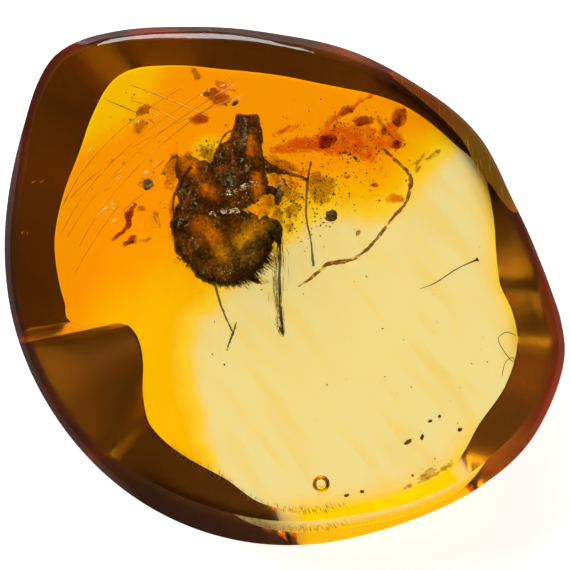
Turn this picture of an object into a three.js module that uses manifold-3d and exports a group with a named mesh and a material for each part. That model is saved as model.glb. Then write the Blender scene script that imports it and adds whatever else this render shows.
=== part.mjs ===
// An insect in amber: a see-through, hand-polished pebble that lies on its flat back, with a curled,
// long-haired insect sealed in it among flakes of bark, twigs, grains, crumbs and a fibre.
// Millimetres, +Z up. The origin is the middle of the flat back, and +Y points to the stone's blunt top edge.
// The clear stone is parted in two halves, so that what it holds lies in pockets between them.
import * as THREE from "three";
import { mergeVertices } from "three/addons/utils/BufferGeometryUtils.js";
import Module from "manifold-3d";

const wasm = await Module();
wasm.setup();

// The stone's heights above the surface it lies on
const lowestGirdle = 0.9;
const lowestWall = 0.2;
const creaseHeight = 7.4;
const domeHeight = 9;

// The halves part halfway up, and every pocket is this much wider than what lies in it
const partingHeight = 4.2;
const partingGap = 0.3;
const pocketGap = 0.4;

// How fine the faceting is: steps round the stone, and sides round a thick and a thin limb and their pockets
const stoneSteps = 72;
const thickSides = 8;
const thinSides = 5;
const thickPocketSides = 6;
const thinPocketSides = 4;

// Three outlines seen from above, as [degrees from +X, distance from the middle]
const rimOutline = [
  [0, 17.05], [9, 16.25], [22, 15.65], [38, 15.8], [58, 15.5], [75, 15.75], [90, 16.15], [101, 16.9],
  [112, 18.0], [124, 19.75], [130, 20.6], [135, 20.95], [140, 20.65], [148, 19.75], [156, 19.1], [166, 18.5],
  [181, 17.85], [210, 16.95], [240, 16.65], [282, 16.7], [298, 17.05], [314, 17.95], [326, 18.6], [336, 18.7],
  [346, 18.55], [353, 17.9],
];
const creaseOutline = [
  [0, 16.0], [12, 15.1], [28, 14.6], [58, 14.5], [86, 15.0], [98, 15.7], [109, 16.6], [119, 18.0],
  [133, 20.2], [144, 19.6], [156, 18.2], [180, 17.0], [214, 15.7], [246, 14.95], [267, 15.0], [287, 15.3],
  [302, 16.1], [318, 17.0], [332, 17.5], [346, 17.3],
];
const backOutline = [
  [0, 13.5], [9, 13.4], [20, 13.8], [31, 14.25], [40, 13.8], [56, 13.5], [66, 13.15], [73, 12.9], [81, 12.85],
  [90, 13.1], [100, 13.65], [109, 14.45], [120, 16.0], [126, 16.85], [131, 17.05], [138, 16.4], [147, 15.55],
  [158, 15.15], [168, 14.85], [176, 14.4], [184, 13.9], [189.5, 13.5], [192, 10.7], [195.5, 9.95], [202, 9.8],
  [209, 10.2], [218, 11.3], [226, 12.1], [252, 12.5], [264, 13.6], [276, 14.05], [289, 14.3], [300, 14.9],
  [314, 15.45], [325, 15.0], [336, 15.25], [346, 15.1], [353, 14.4],
];

// How steep the back's ground bevel and the front's shoulder are, as [degrees from +X, degrees of slope]
const bevelSlope = [[0, 46], [262, 46], [275, 22], [312, 22], [319, 46]];
const shoulderSlope = [
  [0, 36], [56, 36], [70, 41], [94, 41], [106, 36], [122, 38], [130, 42], [226, 38], [240, 42], [312, 42],
  [324, 40], [346, 38],
];

function plainMaterial(name, color, roughness) {
  return new THREE.MeshStandardMaterial({ name, color, roughness, metalness: 0 });
}

function clearMaterial(name, color, opacity) {
  const finish = { roughness: 0.05, metalness: 0 };
  return new THREE.MeshStandardMaterial({ name, color, opacity, transparent: true, ...finish });
}

const amber = clearMaterial("amber", 0xe8a020, 0.35);
const chitin = plainMaterial("chitin", 0x3a1f0c, 0.6);
const bark = plainMaterial("bark", 0x6b2c0a, 0.8);
const grit = plainMaterial("grit", 0x5c4f35, 0.8);
const seam = plainMaterial("seam", 0xb0651c, 0.7);

// The value at an angle, on a smooth closed curve through the points of one of these outlines.
function valueAt(outline, degrees) {
  const count = outline.length;
  const point = (i) => {
    const turns = Math.floor(i / count);
    const [angle, value] = outline[i - turns * count];
    return [angle + 360 * turns, value];
  };
  let i = 0;
  while (i < count - 1 && outline[i + 1][0] <= degrees) i++;
  const [[a0, r0], [a1, r1], [a2, r2], [a3, r3]] = [point(i - 1), point(i), point(i + 1), point(i + 2)];
  const span = a2 - a1;
  const t = (degrees - a1) / span;
  const slopeIn = ((r2 - r0) / (a2 - a0)) * span;
  const slopeOut = ((r3 - r1) / (a3 - a1)) * span;
  const first = r1 * (2 * t ** 3 - 3 * t ** 2 + 1) + slopeIn * (t ** 3 - 2 * t ** 2 + t);
  const second = r2 * (3 * t ** 2 - 2 * t ** 3) + slopeOut * (t ** 3 - t ** 2);
  return first + second;
}

// A closed skin over rings of points, from one end point to the other. Each ring turns anticlockwise
// as seen from the far end.
function loft(start, rings, end) {
  const sides = rings[0].length;
  const points = [start, ...rings.flat(), end];
  const at = (ring, side) => 1 + ring * sides + (side % sides);
  const last = rings.length - 1;
  const faces = [];
  for (let side = 0; side < sides; side++) {
    faces.push(0, at(0, side + 1), at(0, side));
    for (let ring = 0; ring < last; ring++) {
      const [a, b] = [at(ring, side), at(ring, side + 1)];
      const [c, d] = [at(ring + 1, side + 1), at(ring + 1, side)];
      faces.push(a, b, c, a, c, d);
    }
    faces.push(points.length - 1, at(last, side), at(last, side + 1));
  }
  return new THREE.BufferGeometry().setFromPoints(points).setIndex(faces);
}

// The whole stone: a flat back, a bevel out to the girdle, an upright wall, a shoulder up to a crease, and
// a low dome. Each ring is given as its distance from the middle, between the three outlines, and its height.
function pebble() {
  const mix = THREE.MathUtils.lerp;
  const steepness = (outline, degrees) => Math.tan(THREE.MathUtils.degToRad(valueAt(outline, degrees)));
  const shoulderRoundness = 1.5;
  const domeRoundness = 2.2;
  const bevel = (out) => ({ back, rim, girdle }) => [mix(back, rim, out), girdle * out];
  const shoulder = (inward) => ({ rim, crease, wallTop, rounded }) => {
    const up = mix(inward, 1 - (1 - inward) ** shoulderRoundness, rounded);
    return [mix(rim, crease, inward), mix(wallTop, creaseHeight, up)];
  };
  const dome = (share) => ({ crease }) => {
    return [crease * share, mix(domeHeight, creaseHeight, share ** domeRoundness)];
  };
  const profile = [
    bevel(0), bevel(1),
    shoulder(0), shoulder(0.3), shoulder(0.65), shoulder(1),
    dome(0.9), dome(0.72), dome(0.5), dome(0.26),
  ];
  const rings = profile.map((place) =>
    Array.from({ length: stoneSteps }, (_, step) => {
      const degrees = (360 * step) / stoneSteps;
      const angle = THREE.MathUtils.degToRad(degrees);
      const outlines = [backOutline, rimOutline, creaseOutline];
      const [back, rim, crease] = outlines.map((outline) => valueAt(outline, degrees));
      const wallTop = creaseHeight - (rim - crease) * steepness(shoulderSlope, degrees);
      const rise = (rim - back) * steepness(bevelSlope, degrees);
      const girdle = THREE.MathUtils.clamp(rise, lowestGirdle, wallTop - lowestWall);
      const rounded = 1 - facetShare(degrees);
      const [radius, height] = place({ back, rim, crease, girdle, wallTop, rounded });
      return new THREE.Vector3(radius * Math.cos(angle), radius * Math.sin(angle), height);
    }),
  );
  return loft(new THREE.Vector3(0, 0, 0), rings, new THREE.Vector3(0, 0, domeHeight));
}

// 1 where the shoulder is a flat ground facet, along the bottom and round the top left corner, else rounded.
function facetShare(degrees) {
  const step = THREE.MathUtils.smoothstep;
  const bottom = step(degrees, 225, 240) - step(degrees, 322, 335);
  const corner = step(degrees, 122, 130) - step(degrees, 150, 164);
  return Math.max(bottom, corner);
}

// A limb along a smooth path. Its radii are spread evenly along its length, and its ribs are grooves round it.
function limb({ path, radii, steps, ribs = 0 }, grow, sides) {
  const curve = new THREE.CatmullRomCurve3(path.map((p) => new THREE.Vector3(...p)), false, "centripetal");
  const frames = curve.computeFrenetFrames(steps, false);
  const grooveDepth = 0.1;
  const grooveSharpness = 6;
  const widthAt = (share) => {
    const along = share * (radii.length - 1);
    const i = Math.min(Math.floor(along), radii.length - 2);
    const groove = ribs ? grooveDepth * Math.abs(Math.cos(Math.PI * ribs * share)) ** grooveSharpness : 0;
    return THREE.MathUtils.lerp(radii[i], radii[i + 1], along - i) * (1 - groove) + grow;
  };
  const rings = Array.from({ length: steps + 1 }, (_, i) => {
    const centre = curve.getPointAt(i / steps);
    const width = widthAt(i / steps);
    return Array.from({ length: sides }, (_, side) => {
      const angle = (2 * Math.PI * side) / sides;
      return centre
        .clone()
        .addScaledVector(frames.normals[i], width * Math.cos(angle))
        .addScaledVector(frames.binormals[i], width * Math.sin(angle));
    });
  });
  const tipLength = 0.6;
  const start = curve.getPointAt(0).addScaledVector(frames.tangents[0], -tipLength * widthAt(0));
  const end = curve.getPointAt(1).addScaledVector(frames.tangents[steps], tipLength * widthAt(1));
  return loft(start, rings, end);
}

// An egg-shaped mass, with half-sizes along X, Y and Z and a turn about Z in degrees.
function mass({ centre, half, turn = 0 }, grow, sides) {
  return new THREE.SphereGeometry(1, sides * 2, sides)
    .rotateX(Math.PI / 2)
    .scale(...half.map((h) => h + grow))
    .rotateZ(THREE.MathUtils.degToRad(turn))
    .translate(...centre);
}

// An uneven flat lump: a ball of few facets, pushed in and out.
function lump(half, grow) {
  const faceted = new THREE.IcosahedronGeometry(1, 0).deleteAttribute("normal").deleteAttribute("uv");
  const ball = mergeVertices(faceted);
  const position = ball.getAttribute("position");
  const unevenness = 0.18;
  for (let i = 0; i < position.count; i++) {
    const push = 1 + unevenness * Math.sin(5 * i + 40 * half[0]);
    const x = position.getX(i) * (half[0] * push + grow);
    const y = position.getY(i) * (half[1] * push + grow);
    const z = position.getZ(i) * (half[2] + grow);
    position.setXYZ(i, x, y, z);
  }
  return ball;
}

// The insect, in millimetres from the middle of its thorax, as it lies: its head up, its abdomen curled
// down, round and back up, and its long-haired hind leg hanging at the right.
const insectMiddle = new THREE.Vector3(-3.5, 6.4, partingHeight);
const insectMasses = [
  { name: "thorax", centre: [0, 0, 0.2], half: [2.35, 1.65, 1.5], turn: 8 },
  { name: "belly", centre: [-0.9, -3.1, -0.4], half: [1.3, 1.7, 0.7] },
  { name: "lobe", centre: [1.6, -3.65, 0], half: [1.1, 1.2, 0.75] },
];
const insectLimbs = [
  {
    name: "head",
    path: [[0.9, 0.9, 0.2], [1.25, 2.2, 0.2], [1.1, 3.3, 0.2], [0.95, 4.3, 0.2]],
    radii: [1.15, 0.92, 0.78, 0.66],
    steps: 4,
  },
  {
    name: "abdomen",
    path: [
      [-1.6, -0.2, 0], [-2.55, -1.85, 0], [-2.55, -3.45, 0], [-1.7, -4.85, 0.1],
      [-0.3, -5.5, 0.1], [0.9, -5.1, 0.1], [1.7, -4.1, 0.1], [1.9, -3.1, 0.1],
    ],
    radii: [1.0, 1.05, 1.1, 1.1, 1.0, 0.85, 0.7, 0.5],
    steps: 18,
    ribs: 6,
  },
  {
    name: "coxa",
    path: [[-0.1, -0.8, 0.6], [0.1, -2.4, 0.5], [0.15, -3.8, 0.2]],
    radii: [0.85, 0.6, 0.28],
    steps: 4,
  },
  {
    name: "hairyLeg",
    path: [
      [1.9, -2.3, 0.2], [2.8, -2.7, 0.2], [3.2, -4.2, 0.2],
      [3.15, -6.4, 0.2], [3.2, -8.3, 0.2], [3.4, -9.7, 0.1],
    ],
    radii: [0.45, 0.45, 0.4, 0.3, 0.3, 0.06],
    steps: 10,
  },
  {
    name: "fringe",
    path: [[0.6, -5.5, 0.1], [1.7, -6.2, 0.1], [2.6, -7.1, 0.1]],
    radii: [0.6, 0.4, 0.12],
    steps: 3,
  },
  {
    name: "middleLeg",
    path: [[-1.2, -5.4, 0.2], [-0.6, -7.6, 0.2], [0.2, -9.35, 0.2]],
    radii: [0.16, 0.12, 0.1],
    steps: 4,
  },
  {
    name: "upperClaw",
    path: [[0.2, -9.3, 0.2], [0.3, -9, 0.2], [0.45, -8.6, 0.2]],
    radii: [0.09, 0.07],
    steps: 2,
  },
  {
    name: "lowerClaw",
    path: [[0.2, -9.3, 0.2], [0, -9.8, 0.2], [-0.15, -10.25, 0.2]],
    radii: [0.1, 0.08],
    steps: 2,
  },
  {
    name: "frontThigh",
    path: [[1.7, 1.3, 0.2], [2.9, 1.0, 0.2], [4.0, 0.65, 0.2], [4.8, 0.4, 0.2]],
    radii: [0.42, 0.26, 0.16, 0.14],
    steps: 4,
  },
  {
    name: "frontShin",
    path: [[5.1, 1.55, 0.2], [4.9, 0.3, 0.2], [4.8, -1.8, 0.2], [5.1, -3.45, 0.2], [5.28, -5.1, 0.2]],
    radii: [0.08, 0.13, 0.1, 0.09, 0.16],
    steps: 8,
  },
  {
    name: "hip",
    path: [[1.6, -0.1, 0.2], [2.75, -0.4, 0.2], [3.05, -1.2, 0.2]],
    radii: [0.4, 0.2, 0.12],
    steps: 4,
  },
  {
    name: "antenna",
    path: [[0.6, 3.6, 0.2], [-0.3, 3.3, 0.2], [-0.75, 2.45, 0.2], [-0.5, 1.7, 0.2], [0, 0.9, 0.2]],
    radii: [0.1, 0.09],
    steps: 6,
  },
  {
    name: "leftLeg",
    path: [[-1.5, 0.7, 0.2], [-2.7, 1.4, 0.2], [-3.65, 2.0, 0.2], [-4.4, 0.7, 0.2]],
    radii: [0.5, 0.34, 0.1, 0.08],
    steps: 5,
  },
  {
    name: "leftShin",
    path: [[-2.5, 1.2, 0.2], [-3.3, 0.1, 0.2], [-3.6, -1.1, 0.2], [-3.45, -2.4, 0.2]],
    radii: [0.2, 0.13, 0.12, 0.14],
    steps: 4,
  },
];

// What lies loose in the stone: flat lumps, each with its place seen from above, half-sizes and turn.
const lumps = [
  { name: "bark_flake_1", at: [-5.2, 10.6], half: [0.6, 0.36, 0.14], turn: 12, material: bark },
  { name: "bark_flake_2", at: [-4.3, 12.0], half: [0.8, 0.5, 0.14], turn: -25, material: bark },
  { name: "bark_flake_3", at: [-9.1, 11.4], half: [0.5, 0.3, 0.12], turn: 30, material: bark },
  { name: "bark_flake_4", at: [3.8, 11.1], half: [0.55, 0.26, 0.14], turn: 28, material: bark },
  { name: "bark_flake_5", at: [4.9, 10.4], half: [0.7, 0.3, 0.16], turn: 8, material: bark },
  { name: "bark_flake_6", at: [7.2, 10.7], half: [0.5, 0.6, 0.16], turn: -15, material: bark },
  { name: "bark_flake_7", at: [2.6, 9.2], half: [0.65, 0.45, 0.18], turn: 20, material: bark },
  { name: "bark_flake_8", at: [7.0, 8.9], half: [0.36, 0.28, 0.14], turn: 0, material: bark },
  { name: "bark_flake_9", at: [6.2, 9.8], half: [0.22, 0.26, 0.14], turn: 0, material: bark },
  { name: "grey_grain", at: [2.9, 4.5], half: [0.36, 0.36, 0.3], turn: 0, material: grit },
  { name: "red_grain_1", at: [3.8, 6.75], half: [0.2, 0.12, 0.12], turn: 0, material: bark },
  { name: "red_grain_2", at: [5.6, 6.4], half: [0.28, 0.17, 0.14], turn: -12, material: bark },
  { name: "red_grain_3", at: [4.6, 3.45], half: [0.16, 0.24, 0.12], turn: -30, material: bark },
  { name: "crumb_1", at: [-3.25, 11.6], half: [0.26, 0.16, 0.12], turn: 35, material: grit },
  { name: "crumb_2", at: [7.8, -9.8], half: [0.27, 0.14, 0.12], turn: 35, material: grit },
  { name: "crumb_3", at: [8.7, -9.5], half: [0.12, 0.2, 0.12], turn: -15, material: grit },
  { name: "crumb_4", at: [9.2, -8.5], half: [0.15, 0.11, 0.1], turn: 10, material: grit },
  { name: "crumb_5", at: [9.8, -8.2], half: [0.12, 0.12, 0.1], turn: 0, material: grit },
  { name: "crumb_6", at: [11.1, -9.05], half: [0.16, 0.12, 0.1], turn: 25, material: grit },
  { name: "crumb_7", at: [3.9, -13.2], half: [0.17, 0.11, 0.1], turn: 15, material: grit },
  { name: "crumb_8", at: [4.9, -12.95], half: [0.14, 0.11, 0.1], turn: 0, material: grit },
  { name: "crumb_9", at: [-12.0, 11.8], half: [0.14, 0.14, 0.1], turn: 0, material: grit },
];

// Thin things in the stone, each a path from its own place.
const strands = [
  {
    name: "twig_1",
    at: [-9.9, 4.4],
    path: [[0.8, 1.0, 0], [0.35, 0.3, 0], [-0.2, -0.3, 0], [-0.8, -1.05, 0]],
    radii: [0.26, 0.24, 0.16, 0.08],
    steps: 4,
    material: bark,
  },
  {
    name: "twig_2",
    at: [-9.8, 2.8],
    path: [[0.35, 0.5, 0], [0, 0, 0], [-0.5, -0.35, 0]],
    radii: [0.22, 0.18, 0.07],
    steps: 3,
    material: bark,
  },
  {
    name: "stalk",
    at: [12.2, 1.5],
    path: [[0, 0, 0], [-1.8, -0.6, 0], [-3.8, -1.55, 0]],
    radii: [0.18, 0.07, 0.06, 0.06, 0.05],
    steps: 4,
    material: grit,
  },
  {
    name: "fibre",
    at: [14.0, -3.6],
    path: [
      [0.55, 0.4, 0], [0.1, 0.65, 0], [-0.35, 0.45, 0], [-0.4, 0, 0],
      [-0.1, -0.7, 0], [0.3, -1.2, 0], [-0.1, -1.35, 0], [-0.25, -2.2, 0],
    ],
    radii: [0.05, 0.05],
    steps: 14,
    material: grit,
  },
  {
    name: "crack_seam",
    at: [6.1, 3.2],
    path: [
      [0.1, 5.2, 0], [0.3, 4.3, 0], [1.3, 3.6, 0], [1.75, 3.0, 0], [1.65, 2.15, 0], [0.85, 0.9, 0],
      [0, -0.05, 0], [-0.75, -0.9, 0], [-1.55, -1.4, 0], [-2.85, -1.8, 0], [-3.95, -2.3, 0], [-5.1, -3.1, 0],
    ],
    radii: [0.1, 0.16, 0.08, 0.1, 0.12, 0.1, 0.08, 0.12, 0.14, 0.12, 0.08, 0.05],
    steps: 20,
    material: seam,
  },
];

// The insect's shapes, and those of its pocket: the same forms, only wider and with fewer facets.
const isThick = ({ radii }) => radii[0] > 0.3;

function insectShapes() {
  return [
    ...insectMasses.map((part) => mass(part, 0, thickSides)),
    ...insectLimbs.map((part) => limb(part, 0, isThick(part) ? thickSides : thinSides)),
  ];
}

function insectPocketShapes() {
  const coarser = 0.6;
  const limbs = insectLimbs.map((part) => ({ ...part, steps: Math.ceil(part.steps * coarser), ribs: 0 }));
  return [
    ...insectMasses.map((part) => mass(part, pocketGap, thickPocketSides)),
    ...limbs.map((part) => limb(part, pocketGap, isThick(part) ? thickPocketSides : thinPocketSides)),
  ];
}

// A geometry as a solid that can be joined and cut, and back again.
function solidOf(geometry) {
  const bare = geometry.clone();
  bare.deleteAttribute("normal");
  bare.deleteAttribute("uv");
  const merged = mergeVertices(bare, 1e-5);
  const vertProperties = new Float32Array(merged.getAttribute("position").array);
  const triVerts = new Uint32Array(merged.index.array);
  return new wasm.Manifold(new wasm.Mesh({ numProp: 3, vertProperties, triVerts }));
}

function geometryOf(solid) {
  const { vertProperties, triVerts } = solid.getMesh();
  const geometry = new THREE.BufferGeometry();
  geometry.setAttribute("position", new THREE.BufferAttribute(new Float32Array(vertProperties), 3));
  geometry.setIndex(new THREE.BufferAttribute(new Uint32Array(triVerts), 1));
  geometry.computeVertexNormals();
  return geometry;
}

function joined(shapes) {
  return shapes.map(solidOf).reduce((whole, part) => whole.add(part));
}

function meshOf(name, solid, material) {
  const mesh = new THREE.Mesh(geometryOf(solid), material);
  mesh.name = name;
  return mesh;
}

// Each thing in the stone: its mesh where it lies, and the pocket that it lies in.
function inclusion({ name, material, at, turn = 0 }, solid, pocket) {
  const mesh = meshOf(name, solid, material);
  mesh.position.set(...at, partingHeight);
  mesh.rotation.z = THREE.MathUtils.degToRad(turn);
  mesh.updateMatrix();
  return { mesh, pocket: pocket.transform(mesh.matrix.elements) };
}

const insect = { name: "insect", material: chitin, at: [insectMiddle.x, insectMiddle.y] };
const inclusions = [
  inclusion(insect, joined(insectShapes()), joined(insectPocketShapes())),
  ...lumps.map((item) => inclusion(item, solidOf(lump(item.half, 0)), solidOf(lump(item.half, pocketGap)))),
  ...strands.map((item) =>
    inclusion(item, solidOf(limb(item, 0, thinSides)), solidOf(limb(item, pocketGap, thinPocketSides))),
  ),
];

// One half of the stone, between two heights, without the pockets.
function stoneHalf(name, low, high) {
  const wide = 60;
  const slab = new THREE.BoxGeometry(wide, wide, high - low).translate(0, 0, (low + high) / 2);
  const whole = solidOf(pebble()).intersect(solidOf(slab));
  const cut = inclusions.reduce((stone, { pocket }) => stone.subtract(pocket), whole);
  return meshOf(name, cut, amber);
}

const insectInAmber = new THREE.Group();
insectInAmber.add(
  stoneHalf("amber_lower", -1, partingHeight - partingGap / 2),
  stoneHalf("amber_upper", partingHeight + partingGap / 2, domeHeight + 1),
  ...inclusions.map(({ mesh }) => mesh),
);

export default insectInAmber;
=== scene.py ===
import math
import random

import bmesh
import bpy
from mathutils import Matrix, Vector, noise


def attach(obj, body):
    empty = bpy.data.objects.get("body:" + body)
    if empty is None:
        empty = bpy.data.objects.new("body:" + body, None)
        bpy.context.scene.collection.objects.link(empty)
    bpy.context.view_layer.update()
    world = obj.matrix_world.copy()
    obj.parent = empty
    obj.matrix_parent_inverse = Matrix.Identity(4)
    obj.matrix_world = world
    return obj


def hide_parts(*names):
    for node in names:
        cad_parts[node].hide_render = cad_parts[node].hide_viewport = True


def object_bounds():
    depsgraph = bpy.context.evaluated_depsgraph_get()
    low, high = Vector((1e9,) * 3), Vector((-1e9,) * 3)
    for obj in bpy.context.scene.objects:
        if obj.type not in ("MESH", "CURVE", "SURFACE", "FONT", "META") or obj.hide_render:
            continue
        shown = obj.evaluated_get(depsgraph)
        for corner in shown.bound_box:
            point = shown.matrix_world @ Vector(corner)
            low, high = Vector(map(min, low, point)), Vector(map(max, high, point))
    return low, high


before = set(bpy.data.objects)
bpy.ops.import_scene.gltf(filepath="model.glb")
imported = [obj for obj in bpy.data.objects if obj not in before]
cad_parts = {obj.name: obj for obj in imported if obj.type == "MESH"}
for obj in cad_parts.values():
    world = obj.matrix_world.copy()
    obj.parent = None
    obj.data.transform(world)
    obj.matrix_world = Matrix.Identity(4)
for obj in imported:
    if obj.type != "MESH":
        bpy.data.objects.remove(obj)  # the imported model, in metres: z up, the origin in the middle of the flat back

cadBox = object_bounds()
mm = 0.001
partingHeight = 4.2  # mm; every inclusion lies here, where the frame's two halves of stone part


# helpers

def hexColour(code):
    # an sRGB hex colour as linear values
    parts = [int(code[i:i + 2], 16) / 255 for i in (0, 2, 4)]
    return [c / 12.92 if c <= 0.04045 else ((c + 0.055) / 1.055) ** 2.4 for c in parts] + [1.0]


def setSockets(tree, node, sockets):
    # by name or in order, each socket gets a value, a hex colour, or what another node puts out
    for key, value in sockets.items() if isinstance(sockets, dict) else enumerate(sockets):
        if isinstance(value, bpy.types.Node):
            value = value.outputs[0]
        if isinstance(value, bpy.types.NodeSocket):
            tree.links.new(value, node.inputs[key])
        else:
            node.inputs[key].default_value = hexColour(value) if isinstance(value, str) else value


def addNode(tree, kind, sockets=(), **settings):
    node = tree.nodes.new("ShaderNode" + kind)
    for key, value in settings.items():
        setattr(node, key, value)
    setSockets(tree, node, sockets)
    return node


smooth = {"interpolation_type": "SMOOTHSTEP"}  # how a range eases in and out


def newMaterial(name):
    material = bpy.data.materials.new(name)
    material.use_nodes = True
    tree = material.node_tree
    place = addNode(tree, "TexCoord").outputs["Object"]
    return material, tree, tree.nodes["Principled BSDF"], place


def layColours(tree, colour, layers):
    # a colour with others laid over it in turn, each by its mask
    for mask, over in layers:
        colour = addNode(tree, "Mix", {0: mask, 6: colour, 7: over}, data_type="RGBA").outputs[2]
    return colour


def setOutput(tree, surface, takes, density):
    # what the surface shows, and the colours that the inside takes out of the light
    output = tree.nodes["Material Output"]
    setSockets(tree, output, {"Surface": surface})
    if takes:
        setSockets(tree, output, {"Volume": addNode(tree, "VolumeAbsorption", [takes, density])})


def deselectAll():
    if bpy.context.object and bpy.context.object.mode != "OBJECT":
        bpy.ops.object.mode_set(mode="OBJECT")
    bpy.ops.object.select_all(action="DESELECT")


def selectOnly(*objects):
    deselectAll()
    for obj in objects:
        obj.select_set(True)
    bpy.context.view_layer.objects.active = objects[0]


def addNew(operator, **settings):
    # a new object, with nothing else selected
    deselectAll()
    operator(**settings)
    return bpy.context.object


def joinAll(objects, name):
    selectOnly(*objects)
    if len(objects) > 1:
        bpy.ops.object.join()
    piece = bpy.context.object
    piece.name = piece.data.name = name
    return piece


def applyPlace(obj):
    selectOnly(obj)
    bpy.ops.object.transform_apply(location=True, rotation=True, scale=True)


def applyModifier(obj, kind, **settings):
    selectOnly(obj)
    modifier = obj.modifiers.new(kind.title(), kind)
    for key, value in settings.items():
        setattr(modifier, key, value)
    bpy.ops.object.modifier_apply(modifier=modifier.name)


def faceOut(piece, merge=0.0, hollow=False):
    # merges doubles nearer than a distance, and turns all faces outward, or into a hollow
    selectOnly(piece)
    bpy.ops.object.mode_set(mode="EDIT")
    bpy.ops.mesh.select_all(action="SELECT")
    if merge:
        bpy.ops.mesh.remove_doubles(threshold=merge)
    bpy.ops.mesh.normals_make_consistent(inside=False)
    if hollow:
        bpy.ops.mesh.flip_normals()
    bpy.ops.object.mode_set(mode="OBJECT")


def addBall(at, half, turn=0, tilt=0, segments=32, rings=16):
    # a ball in mm, stretched to its half sizes, tilted and turned in degrees
    ball = addNew(bpy.ops.mesh.primitive_uv_sphere_add, segments=segments, ring_count=rings, radius=mm)
    ball.scale = half
    ball.rotation_euler = (math.radians(tilt), 0, math.radians(turn))
    ball.location = Vector(at) * mm
    applyPlace(ball)
    return ball


def addBuilt(built, name):
    # a new object from points and faces that were set one by one
    data = bpy.data.meshes.new(name)
    built.to_mesh(data)
    built.free()
    piece = bpy.data.objects.new(name, data)
    bpy.context.collection.objects.link(piece)
    return piece


def makeLimb(points, radii, sides):
    # a closed tube along a line, in mm, with a radius at each point
    line = addNew(bpy.ops.curve.primitive_bezier_curve_add, radius=mm)
    line.data.splines.clear()
    spline = line.data.splines.new("POLY")
    spline.points.add(len(points) - 1)
    for point, place, radius in zip(spline.points, points, radii):
        point.co = (*(Vector(place) * mm), 1)
        point.radius = radius
    line.data.dimensions = "3D"
    line.data.bevel_depth = mm
    line.data.bevel_resolution = max(0, sides // 2 - 2)
    line.data.use_fill_caps = True
    bpy.ops.object.convert(target="MESH")
    piece = bpy.context.object
    faceOut(piece, merge=1e-7)
    return piece


def finishPiece(piece, material, slot, nodes=()):
    # its material, its body, and the solids that it stands for; the slot is not used
    piece.data.materials.clear()
    piece.data.materials.append(material)
    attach(piece, "root")
    if nodes:
        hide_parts(*nodes)


def between(a, b, share):
    return a + (b - a) * share


def smoothStep(low, high, value):
    t = min(max((value - low) / (high - low), 0.0), 1.0)
    return t * t * (3 - 2 * t)


def arc(degrees, inFrom, inTo, outFrom, outTo):
    # 1 on a part of the way round, also past 0 degrees, with soft ends
    wraps = inFrom > outFrom
    return smoothStep(inFrom, inTo, degrees) + wraps - smoothStep(outFrom, outTo, degrees)


# the stone

stone = {
    "creaseHeight": 7.4,
    "domeHeight": 9.0,
    "domeRoundness": 2.2,
    "shoulderRoundness": 1.5,
    "lowestGirdle": 0.9,
    "leastWall": 0.2,
    "steps": 240,
    "smoothAngle": 24,
    # outlines from above: degrees from +X, mm from the middle
    "rim": [
        (0, 17.05), (9, 16.25), (22, 15.65), (38, 15.8), (58, 15.5), (75, 15.75), (90, 16.15),
        (101, 16.9), (112, 18.0), (124, 19.75), (130, 20.6), (135, 20.95), (140, 20.65), (148, 19.75),
        (156, 19.1), (166, 18.5), (181, 17.85), (210, 16.95), (240, 16.65), (282, 16.7), (298, 17.05),
        (314, 17.95), (326, 18.6), (336, 18.7), (346, 18.55), (353, 17.9),
    ],
    "crease": [
        (0, 16.0), (12, 15.1), (28, 14.6), (58, 14.5), (86, 15.0), (98, 15.7), (109, 16.6),
        (119, 18.0), (133, 20.2), (144, 19.6), (156, 18.2), (180, 17.0), (214, 15.7), (246, 14.95),
        (267, 15.0), (287, 15.3), (302, 16.1), (318, 17.0), (332, 17.5), (346, 17.3),
    ],
    "back": [
        (0, 13.5), (9, 13.4), (20, 13.8), (31, 14.25), (40, 13.8), (56, 13.5), (66, 13.15), (73, 12.9),
        (81, 12.85), (90, 13.1), (100, 13.65), (109, 14.45), (120, 16.0), (126, 16.85), (131, 17.05),
        (138, 16.4), (147, 15.55), (158, 15.15), (168, 14.85), (176, 14.4), (184, 13.9), (189.5, 13.5),
        (192, 10.7), (195.5, 9.95), (202, 9.8), (209, 10.2), (218, 11.3), (226, 12.1), (252, 12.5),
        (264, 13.6), (276, 14.05), (289, 14.3), (300, 14.9), (314, 15.45), (325, 15.0), (336, 15.25),
        (346, 15.1), (353, 14.4),
    ],
    # the slope of the back's ground edge and of the front's, in degrees, all the way round: at more
    # than 41 the back's edge turns light round inside the stone and looks dark
    "bevelSlope": [(0, 46), (262, 46), (275, 22), (312, 22), (319, 46)],
    "shoulderSlope": [
        (0, 36), (56, 36), (70, 41), (94, 41), (106, 36), (122, 38), (130, 42), (226, 38), (240, 42),
        (312, 42), (324, 40), (346, 38),
    ],
    # where the front's edge is a ground facet with a crisp crease: the bottom and the top left corner
    "facets": [(225, 240, 322, 335), (122, 130, 150, 164)],
    # rings from the middle of the back outward, up, and in again to the top, by their share of the way
    "rings": {
        "flat": [step / 24 for step in range(1, 24)] + [0.985],
        "bevel": [0, 0.03, 0.1, 0.36, 0.7, 0.9, 0.97, 1],
        "wall": [0.1, 0.5, 0.9, 1],
        "shoulder": [0.05, 0.12, 0.22, 0.34, 0.48, 0.62, 0.76, 0.88, 1],
        "dome": [0.985, 0.95, 0.9, 0.84, 0.77, 0.68, 0.58, 0.47, 0.35, 0.22, 0.1],
    },
}


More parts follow.
